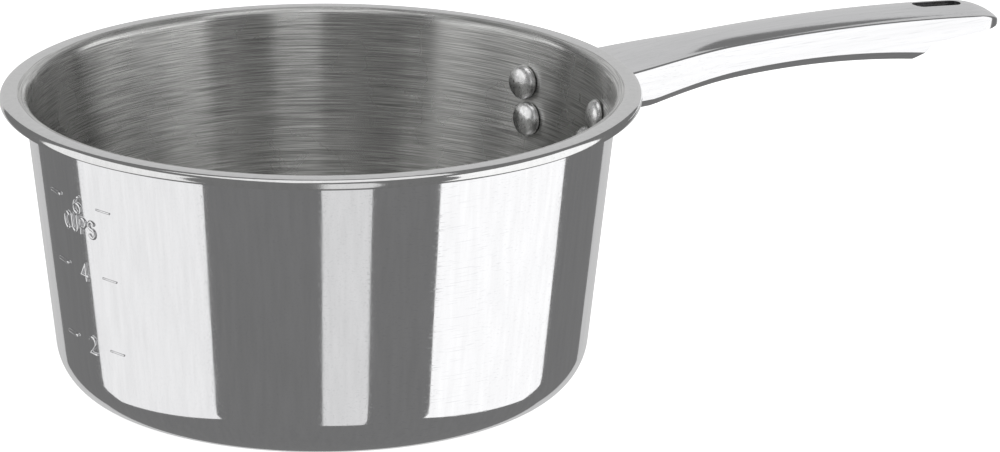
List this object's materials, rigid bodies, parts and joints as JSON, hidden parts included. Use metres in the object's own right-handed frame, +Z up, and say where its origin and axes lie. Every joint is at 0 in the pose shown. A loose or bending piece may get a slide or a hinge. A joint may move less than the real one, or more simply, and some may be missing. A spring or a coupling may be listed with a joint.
{
  "type": "candle melting pot",
  "caption": "Round tapered steel melting pot with a rolled lip, straight arched channel handle with a hang slot, held by rivets, and raised volume marks.",
  "frame": {"origin": "middle of the flat base, on the surface the pot stands on", "axes": "+X from the pot's axis along the handle, +Z up out of the pot's mouth, +Y to the left of someone looking along the handle from the pot"},
  "size_m": [0.339, 0.192, 0.092],
  "materials": {
    "polished_steel": "polished outside, with a fine turned grain inside the pot",
    "satin_steel": "satin",
    "raw_steel": "dull, as pressed"
  },
  "bodies": {
    "root": {"pot_body": "polished_steel", "handle_shell": "polished_steel", "handle_bracket": "raw_steel", "rivet_upper_left": "satin_steel", "rivet_upper_right": "satin_steel", "rivet_lower_left": "satin_steel", "rivet_lower_right": "satin_steel"}
  },
  "joints": []
}
